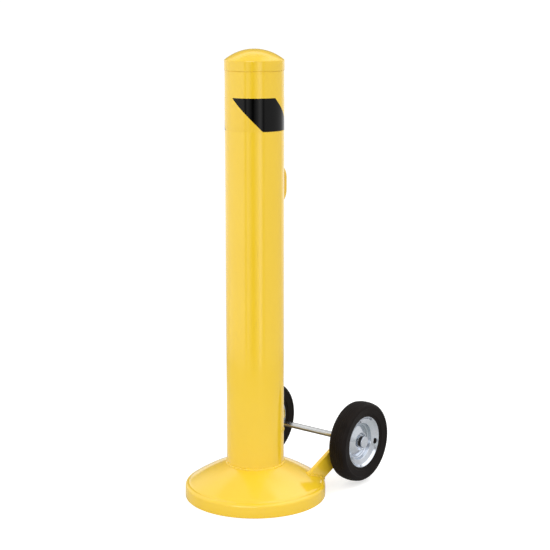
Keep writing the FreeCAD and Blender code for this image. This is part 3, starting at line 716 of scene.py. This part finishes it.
def build_handle():
    """The U of round bar and the bead around each of its legs."""
    root = POST_RADIUS - 1.5 * MM
    bend_start = HANDLE_REACH - HANDLE_BEND
    outline = [(root, HANDLE_LOW)]
    outline += arc((bend_start, HANDLE_LOW + HANDLE_BEND), HANDLE_BEND, -math.pi / 2, 0, 16)
    outline += arc((bend_start, HANDLE_HIGH - HANDLE_BEND), HANDLE_BEND, 0, math.pi / 2, 16)
    outline.append((root, HANDLE_HIGH))
    vertices, faces = sweep_round([Vector((0, back, upward)) for back, upward in outline], HANDLE_BAR)
    make_piece("handle_bar", vertices, faces, PAINT, "bollard", ["grab_handle"])
    beads = []
    for seed, height in ((3.1, HANDLE_LOW), (5.3, HANDLE_HIGH)):
        ring = []
        for number in range(48):
            angle = 2 * math.pi * number / 48
            across = (HANDLE_BAR + 0.5 * MM) * math.cos(angle)
            upward = height + (HANDLE_BAR + 0.5 * MM) * math.sin(angle)
            ring.append(Vector((across, math.sqrt(POST_RADIUS ** 2 - across ** 2), upward)))
        beads.append(weld_bead(ring, WELD_LEG * 0.7, seed))
    vertices, faces = joined(beads)
    make_piece("handle_weld_beads", vertices, faces, PAINT, "bollard", ["handle_welds"], sharp=SHARP_WELD)


# ---- the arms -------------------------------------------------------------------------------------------

def on_arm(across, run, rise):
    """A point on an arm, given along and square to the bar from the axle's centre."""
    cos = math.cos(ARM_SLOPE)
    sin = math.sin(ARM_SLOPE)
    return Vector((across, AXLE_CENTRE.y + run * cos - rise * sin, AXLE_CENTRE.z + run * sin + rise * cos))


def arm_shape(inner, outer):
    """A flat bar with round rear corners, eased edges and an axle hole."""
    under = ARM_OVER_AXLE - ARM_WIDTH
    outline = rounded([
        (-ARM_RUN, under), (ARM_TAIL, under, ARM_CORNER), (ARM_TAIL, ARM_OVER_AXLE, ARM_CORNER),
        (-ARM_RUN, ARM_OVER_AXLE)], steps=8)
    shape = bmesh.new()
    hole_radius = AXLE_RADIUS + 0.15 * MM
    hole = arc((0, 0), hole_radius, 0, 2 * math.pi, 40)[:-1]
    loops = []
    for points in (outline, hole):
        loop = [shape.verts.new(on_arm(inner, run, rise)) for run, rise in points]
        edges = [shape.edges.new((loop[place - 1], loop[place])) for place in range(len(loop))]
        loops.append((loop, edges))
    filled = bmesh.ops.triangle_fill(shape, use_beauty=True, edges=loops[0][1] + loops[1][1])
    side_faces = [item for item in filled["geom"] if isinstance(item, bmesh.types.BMFace)]
    grown = bmesh.ops.extrude_face_region(shape, geom=side_faces)
    moved = [item for item in grown["geom"] if isinstance(item, bmesh.types.BMVert)]
    bmesh.ops.translate(shape, verts=moved, vec=(outer - inner, 0, 0))
    bmesh.ops.recalc_face_normals(shape, faces=shape.faces)
    sharp_edges = [edge for edge in shape.edges
                   if len(edge.link_faces) == 2 and edge.calc_face_angle(0) > math.radians(60)]
    bmesh.ops.bevel(shape, geom=sharp_edges, offset=1.0 * MM, segments=3, profile=0.5, affect="EDGES",
                    clamp_overlap=True)
    shape.verts.index_update()
    vertices = [vertex.co.copy() for vertex in shape.verts]
    faces = [[vertex.index for vertex in face.verts] for face in shape.faces]
    shape.free()
    return vertices, faces


def arm_foot_path(inner, outer):
    """The closed line where an arm's surface meets the base, walked around the bar."""
    under = ARM_OVER_AXLE - ARM_WIDTH
    around = []
    corners = [(inner, ARM_OVER_AXLE), (outer, ARM_OVER_AXLE), (outer, under), (inner, under)]
    for place, (across, rise) in enumerate(corners):
        next_across, next_rise = corners[(place + 1) % 4]
        steps = 24
        for step in range(steps):
            share = step / steps
            around.append((across + (next_across - across) * share, rise + (next_rise - rise) * share))
    path = []
    for across, rise in around:
        outside = 0.0
        inside = -ARM_RUN
        for _ in range(30):
            middle = (outside + inside) / 2
            if inside_base(on_arm(across, middle, rise)):
                inside = middle
            else:
                outside = middle
        path.append(on_arm(across, outside, rise))
    return path


def build_arms():
    """Both arms and the bead around the foot of each."""
    beads = []
    for side, inner, outer in (("right", ARM_INNER, ARM_OUTER), ("left", -ARM_OUTER, -ARM_INNER)):
        vertices, faces = arm_shape(inner, outer)
        make_piece(f"arm_bar_{side}", vertices, faces, PAINT, "bollard", [f"arm_{side}"], sharp=SHARP_ARM)
        beads.append(weld_bead(arm_foot_path(inner, outer), WELD_LEG * 0.75, 2.0 + inner * 20))
    vertices, faces = joined(beads)
    make_piece("arm_weld_beads", vertices, faces, PAINT, "bollard", ["arm_welds"], sharp=SHARP_WELD)


# ---- the axle ---------------------------------------------------------------------------------------------

SMALL_SEGMENTS = 96


def on_axle(outline, side=None, segments=SMALL_SEGMENTS):
    """Turns an outline of (radius, place) about the axle: about the middle of the axle, or in a
    wheel's own frame where a side is given."""
    vertices, faces = turn_profile(outline, segments)
    if side:
        return to_wheel(vertices, side), faces
    lie_down = Matrix.Translation(AXLE_CENTRE) @ Matrix.Rotation(math.pi / 2, 4, "Y")
    return [lie_down @ Vector(vertex) for vertex in vertices], faces


def ring_outline(bore, radius, low, high, easing):
    """The outline of a flat ring with eased outer edges."""
    return rounded([(bore, low), (radius, low, easing), (radius, high, easing), (bore, high)], steps=3)


def both_sides(outline):
    """The same turned outline in both wheels' frames, as one shape."""
    return joined([on_axle(outline, "right"), on_axle(outline, "left")])


def build_axle():
    """The bright axle, its washers and its push-on caps."""
    bevel = 0.8 * MM
    outline = rounded([(0, -AXLE_END), (AXLE_RADIUS, -AXLE_END, bevel), (AXLE_RADIUS, AXLE_END, bevel),
                       (0, AXLE_END)], closed=False)
    vertices, faces = on_axle(outline)
    make_piece("axle_bar", vertices, faces, STEEL, "bollard", ["axle"])

    for label, node in (("washers_inner", "inner_washers"), ("washers_outer", "outer_washers")):
        low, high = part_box(node)
        radius = high.z - AXLE_CENTRE.z
        end = high.x - WHEEL_MIDDLE
        start = end - WASHER_WALL
        vertices, faces = both_sides(ring_outline(AXLE_RADIUS + 0.3 * MM, radius, start, end, 0.4 * MM))
        make_piece(label, vertices, faces, NYLON, "bollard", [node])

    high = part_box("axle_caps")[1]
    radius = high.z - AXLE_CENTRE.z
    end = high.x - WHEEL_MIDDLE
    start = end - AXLE_CAP_HEIGHT
    sheet = AXLE_CAP_SHEET
    outline = rounded([
        (AXLE_RADIUS, start),
        (radius, start, 0.5 * MM),
        (radius, end, 1.4 * MM),
        (0, end),
        (0, end - sheet),
        (radius - sheet, end - sheet),
        (radius - sheet, start + sheet),
        (AXLE_RADIUS, start + sheet),
    ])
    vertices, faces = both_sides(outline)
    make_piece("axle_end_caps", vertices, faces, ZINC, "bollard", ["axle_caps"])


# ---- the wheels ---------------------------------------------------------------------------------

WHEEL_SEGMENTS = 192

TREAD_GROOVES = (0.0, 6.2 * MM, 12.4 * MM)
GROOVE_HALF = 0.9 * MM
GROOVE_DEPTH = 0.7 * MM


def tread_radius(across):
    """The tread's radius at a distance from the wheel's middle plane, its fine grooves included."""
    rise = TYRE_RADIUS - SHOULDER_RADIUS
    crown = (SHOULDER_HALF ** 2 + rise ** 2) / (2 * rise)
    radius = TYRE_RADIUS - crown + math.sqrt(crown ** 2 - across ** 2)
    nearest = min(abs(across - groove) for groove in TREAD_GROOVES)
    return radius - GROOVE_DEPTH * max(0.0, 1 - (nearest / GROOVE_HALF) ** 2)


def tyre_outline():
    """The tyre's section: grooved tread, round shoulders, side walls with a moulded step, and the
    seat on the rims."""
    tread_steps = 62
    tread_end = SHOULDER_HALF - 2 * MM
    half = []
    for step in range(tread_steps + 1):
        across = tread_end * step / tread_steps
        half.append((tread_radius(across), across))
    side = [
        (SHOULDER_RADIUS, SHOULDER_HALF),
        (SHOULDER_RADIUS - 2.6 * MM, SHOULDER_HALF + 3.6 * MM),
        (TYRE_WIDEST, TYRE_HALF),
        (TYRE_WIDEST - 3.2 * MM, TYRE_HALF - 0.1 * MM),
        (TYRE_WIDEST - 4.2 * MM, TYRE_HALF - 0.9 * MM),
        (TYRE_WIDEST - 9 * MM, TYRE_HALF - 1.5 * MM),
        (BEAD_RADIUS + 8 * MM, BEAD_OUT + 3.2 * MM),
        (BEAD_RADIUS + 6.6 * MM, BEAD_OUT + 3 * MM),
        (BEAD_RADIUS + 5.4 * MM, BEAD_OUT + 1.5 * MM),
        (BEAD_RADIUS, BEAD_OUT),
    ]
    half += smooth_through([half[-1]] + side, 5)[1:]
    seat = [(LIP_RADIUS, LIP_OUT - RIM_SHEET), behind(STEP_HIGH, STEP_BACK), behind(STEP_LOW, STEP_BACK)]
    half += seat
    mirrored = [(distance, -place) for distance, place in reversed(half[1:])]
    return half + mirrored


# How far the back of each bend in the rim's sheet lies behind its hollow face, outwards from the
# axle and along it, in thicknesses of the sheet.
THROAT_BACK = (0.6, 1)
BOSS_BACK = (-0.33, 1)
WEB_BACK = (0.75, 1)
FOOT_BACK = (-0.3, 1)
STEP_BACK = (0.7, 0.85)


def behind(point, shares, towards=1):
    """The point behind a place on the rim's hollow face, which faces outwards where towards is 1."""
    return (point[0] + shares[0] * RIM_SHEET, point[1] - towards * shares[1] * RIM_SHEET)


def rim_outline(towards):
    """The closed section of a rim half as (radius, place): hollow boss, web, steep step, wall and
    lip on its hollow face, and the same bends behind. The outer half faces outwards (towards = 1)."""
    web = RIM_JOINT + towards * RIM_SHEET
    boss = web + towards * (BOSS_OUT - RIM_JOINT - RIM_SHEET)
    throat = boss - towards * THROAT_DEPTH
    step_low = (STEP_LOW[0], towards * STEP_LOW[1])
    step_high = (STEP_HIGH[0], towards * STEP_HIGH[1])
    face = [
        (HUB_RADIUS, throat),
        (THROAT_RADIUS, throat, 1.2 * MM),
        (BOSS_RADIUS - RIM_SHEET, boss, 0.6 * MM),
        (BOSS_RADIUS, boss, 1.2 * MM),
        (FOOT_RADIUS, web, 12 * MM),
        (WEB_RADIUS, web, 1.5 * MM),
        (*step_low, 1.5 * MM),
        (*step_high, 4 * MM),
        (LIP_RADIUS - RIM_SHEET, towards * LIP_OUT, 0.6 * MM),
        (LIP_RADIUS, towards * LIP_OUT, 0.4 * MM),
    ]
    back = [
        (LIP_RADIUS, towards * (LIP_OUT - RIM_SHEET)),
        (*behind(step_high, STEP_BACK, towards), 4 * MM),
        (*behind(step_low, STEP_BACK, towards), 1.5 * MM),
        (*behind((WEB_RADIUS, web), WEB_BACK, towards), 1.5 * MM),
        behind((FOOT_RADIUS, web), FOOT_BACK, towards),
        behind((BOSS_RADIUS, boss), BOSS_BACK, towards),
        behind((THROAT_RADIUS, throat), THROAT_BACK, towards),
        behind((HUB_RADIUS, throat), (0, 1), towards),
    ]
    return rounded(face + back, steps=6)


def cut_vent(rim, side):
    """Cuts the slot with round ends through a rim half's wall."""
    straight = (VENT_LENGTH - VENT_WIDTH) / 2
    end = VENT_WIDTH / 2
    outline = arc((straight, 0), end, -math.pi / 2, math.pi / 2, 10)
    outline += arc((-straight, 0), end, math.pi / 2, 3 * math.pi / 2, 10)
    reach = 2 * LIP_OUT
    count = len(outline)
    vertices = [(upward, VENT_RADIUS + outward, -reach) for upward, outward in outline]
    vertices += [(upward, VENT_RADIUS + outward, reach) for upward, outward in outline]
    faces = [list(range(count)), list(range(count, 2 * count))]
    for place in range(count):
        following = (place + 1) % count
        faces.append([place, following, count + following, count + place])
    mesh = bpy.data.meshes.new("vent_cutter")
    mesh.from_pydata(to_wheel(vertices, side), [], faces)
    shape = bmesh.new()
    shape.from_mesh(mesh)
    bmesh.ops.recalc_face_normals(shape, faces=shape.faces)
    shape.to_mesh(mesh)
    shape.free()
    cutter = bpy.data.objects.new("vent_cutter", mesh)
    bpy.context.scene.collection.objects.link(cutter)
    cutting = rim.modifiers.new("vent", "BOOLEAN")
    cutting.object = cutter
    cutting.operation = "DIFFERENCE"
    cutting.solver = "EXACT"
    cut_mesh = bpy.data.meshes.new_from_object(rim.evaluated_get(bpy.context.evaluated_depsgraph_get()))
    cut_mesh.set_sharp_from_angle(angle=math.radians(SHARP_RIM))
    rim.modifiers.clear()
    rim.data = cut_mesh
    bpy.data.objects.remove(cutter)


def build_wheel(side):
    """One wheel: tyre, rim halves, hub tube and bushes."""
    body = f"wheel_{side}"
    vertices, faces = on_axle(tyre_outline(), side, WHEEL_SEGMENTS)
    make_piece(f"tyre_rubber_{side}", vertices, faces, RUBBER, body, [f"tyre_{side}"], sharp=SHARP_TYRE)

    for name, node, towards in (("rim_face", "rim_outer", 1), ("rim_back", "rim_inner", -1)):
        vertices, faces = on_axle(rim_outline(towards), side, WHEEL_SEGMENTS)
        rim = make_piece(f"{name}_{side}", vertices, faces, ZINC, body, [f"{node}_{side}"], sharp=SHARP_RIM)
        cut_vent(rim, side)

    outline = rounded([(HUB_BORE, HUB_INNER), (HUB_RADIUS, HUB_INNER, 0.5 * MM),
                       (HUB_RADIUS, HUB_OUTER, 0.5 * MM), (HUB_BORE, HUB_OUTER)], steps=3)
    vertices, faces = on_axle(outline, side)
    make_piece(f"hub_{side}", vertices, faces, ZINC, body, [f"hub_tube_{side}"])
    for end in ("outer", "inner"):
        cad_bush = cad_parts[f"bush_{end}_{side}"]
        cad_bush.data.materials.clear()
        cad_bush.data.materials.append(NYLON["material"])


# ---- the hidden CAD pieces, the studio and the camera ----------------------------------------------

def finish_cad_pieces():
    """The base's plate and ballast keep their CAD shape and get their materials."""
    for node, material in (("base_plate", PAINT), ("ballast", CONCRETE)):
        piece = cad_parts[node]
        piece.data.materials.clear()
        piece.data.materials.append(material["material"])


CAMERA_AZIMUTH = math.radians(39.53)
CAMERA_DISTANCE = 3.263
CAMERA_HEIGHT = 1.1998
CAMERA_YAW = math.radians(0.847)
CAMERA_PITCH = math.radians(11.243)
CAMERA_LENS = 90.73
CAMERA_SENSOR = 36
CAMERA_BACKWARD = (math.sin(CAMERA_AZIMUTH), -math.cos(CAMERA_AZIMUTH), 0.0)
CAMERA_RIGHT = (math.cos(CAMERA_AZIMUTH), math.sin(CAMERA_AZIMUTH), 0.0)


# The floor fades between the two distances, out of the picture's middle.
FLOOR_RADIUS = 1.5
FADE_START = 0.8
FADE_END = 1.3
FLOOR_HEIGHT = -0.2 * MM
BACKDROP = 1.05

# The soft boxes and dark cards around the object, the later ones in front of the earlier. Angles
# are in degrees: azimuth from the camera's direction towards its right, elevation above level,
# half the width, half the height and the softness of the upright edges; last the brightness.
SURROUND = 1.06
LIGHT_LEVEL = 1.09
BOX_EDGE = 3
SOFT_BOXES = {
    "ceiling": (0, 90, 180, 35, 3, 0.6),
    "below_level": (0, -30, 180, 19, 3, 0.6),
    "rear_card": (180, 22, 26, 17, 8, 0.25),
    "high_right": (80, 52, 65, 20, 14, 1.6),
    "upper_right": (90, 21, 55, 12, 14, 0.85),
    "upper_left": (-60, 20, 22, 11, 3, 0.6),
    "upper_card": (22, 20, 16, 11, 3, 0.4),
    "key": (-19, 19, 20, 11, 3, 3.0),
    "left_wall": (-72, -3, 47, 12, 3, 1.05),
    "left_card": (-35, -3, 4, 12, 3, 0.2),
    "right_wall": (85, -3, 46, 12, 3, 0.65),
    "right_card": (35, -3, 4.5, 12, 3, 0.25),
    "camera_side": (-6, -3, 13, 12, 11, 0.0),
    "slim_box": (21, -3, 4.5, 12, 3, 1.5),
}


def build_surround(tree):
    """The brightness of the surround in each direction, from the table of soft boxes."""
    direction = add_node(tree, "ShaderNodeTexCoord").outputs["Generated"]
    parts = add_node(tree, "ShaderNodeSeparateXYZ", Vector=direction)
    toward = add_node(tree, "ShaderNodeVectorMath", {"operation": "DOT_PRODUCT"},
                      i0=direction, i1=CAMERA_BACKWARD).outputs["Value"]
    rightward = add_node(tree, "ShaderNodeVectorMath", {"operation": "DOT_PRODUCT"},
                         i0=direction, i1=CAMERA_RIGHT).outputs["Value"]
    azimuth = calculated(tree, "DEGREES", calculated(tree, "ARCTAN2", rightward, toward))
    elevation = calculated(tree, "DEGREES", calculated(tree, "ARCSINE", parts.outputs["Z"]))
    brightness = SURROUND
    for across, upward, half_width, half_height, softness, strength in SOFT_BOXES.values():
        turn = calculated(tree, "WRAP", calculated(tree, "SUBTRACT", azimuth, across), 180, -180)
        beside = mapped(tree, calculated(tree, "ABSOLUTE", turn), half_width - softness,
                        half_width + softness, 1, 0)
        rise = calculated(tree, "SUBTRACT", elevation, upward)
        above = mapped(tree, calculated(tree, "ABSOLUTE", rise), half_height - BOX_EDGE,
                       half_height + BOX_EDGE, 1, 0)
        inside = calculated(tree, "MULTIPLY", beside, above)
        brightness = add_node(tree, "ShaderNodeMix", {"data_type": "FLOAT"}, i0=inside,
                              i2=brightness, i3=strength).outputs[0]
    return calculated(tree, "MULTIPLY", brightness, LIGHT_LEVEL)


def build_studio():
    """A pale round floor under a white surround of soft boxes; the camera sees plain white. The
    floor is clear to a camera below it, so that the base can be seen from underneath."""
    floor = bpy.data.meshes.new("floor")
    edge = [(x, y, FLOOR_HEIGHT) for x, y in arc((0, 0), FLOOR_RADIUS, 0, 2 * math.pi, 96)[:-1]]
    floor.from_pydata(edge, [], [tuple(range(len(edge)))])
    ground = bpy.data.objects.new("floor", floor)
    bpy.context.scene.collection.objects.link(ground)
    material, tree, surface, place = start_material("floor_white")
    shade = mixed(tree, noise_value(tree, place, 2, 3), (0.67, 0.67, 0.67, 1), (0.70, 0.70, 0.70, 1))
    outward = add_node(tree, "ShaderNodeVectorMath", {"operation": "LENGTH"}, i0=place).outputs["Value"]
    shade = mixed(tree, mapped(tree, outward, FADE_START, FADE_END, 0, 1), shade, (0.45, 0.45, 0.45, 1))
    seen = add_node(tree, "ShaderNodeLightPath").outputs["Is Camera Ray"]
    lift = calculated(tree, "MULTIPLY", seen, mapped(tree, outward, FADE_START, FADE_END, 0.6, 0.7))
    eye = add_node(tree, "ShaderNodeVectorTransform", {"vector_type": "POINT", "convert_from": "CAMERA",
                                                       "convert_to": "WORLD"}, Vector=(0, 0, 0))
    eye_height = add_node(tree, "ShaderNodeSeparateXYZ", Vector=eye.outputs["Vector"]).outputs["Z"]
    solid = calculated(tree, "GREATER_THAN", eye_height, 0)
    set_surface(tree, surface, Base_Color=shade, Roughness=0.9, Specular_IOR_Level=0.1,
                Emission_Color=(1, 1, 1, 1), Emission_Strength=lift, Alpha=solid)
    floor.materials.append(material)

    world = bpy.data.worlds.new("studio")
    bpy.context.scene.world = world
    world.use_nodes = True
    tree = world.node_tree
    seen = add_node(tree, "ShaderNodeLightPath").outputs["Is Camera Ray"]
    strength = add_node(tree, "ShaderNodeMix", {"data_type": "FLOAT"}, i0=seen,
                        i2=build_surround(tree), i3=BACKDROP).outputs[0]
    background = tree.nodes["Background"]
    background.inputs["Color"].default_value = (1, 1, 1, 1)
    tree.links.new(strength, background.inputs["Strength"])


def build_camera():
    """A long lens in front and to the right of the post, looking a little down."""
    data = bpy.data.cameras.new("camera")
    data.lens = CAMERA_LENS
    data.sensor_width = CAMERA_SENSOR
    camera = bpy.data.objects.new("camera", data)
    camera.location = (CAMERA_DISTANCE * math.sin(CAMERA_AZIMUTH),
                       -CAMERA_DISTANCE * math.cos(CAMERA_AZIMUTH), CAMERA_HEIGHT)
    camera.rotation_euler = (math.pi / 2 - CAMERA_PITCH, 0, CAMERA_AZIMUTH - CAMERA_YAW)
    bpy.context.scene.collection.objects.link(camera)
    bpy.context.scene.camera = camera


build_base()
build_post_weld()
build_post()
build_cap()
build_band()
build_handle()
build_arms()
build_axle()
build_wheel("right")
build_wheel("left")
finish_cad_pieces()
build_studio()
build_camera()
bpy.context.scene.view_settings.view_transform = "Standard"
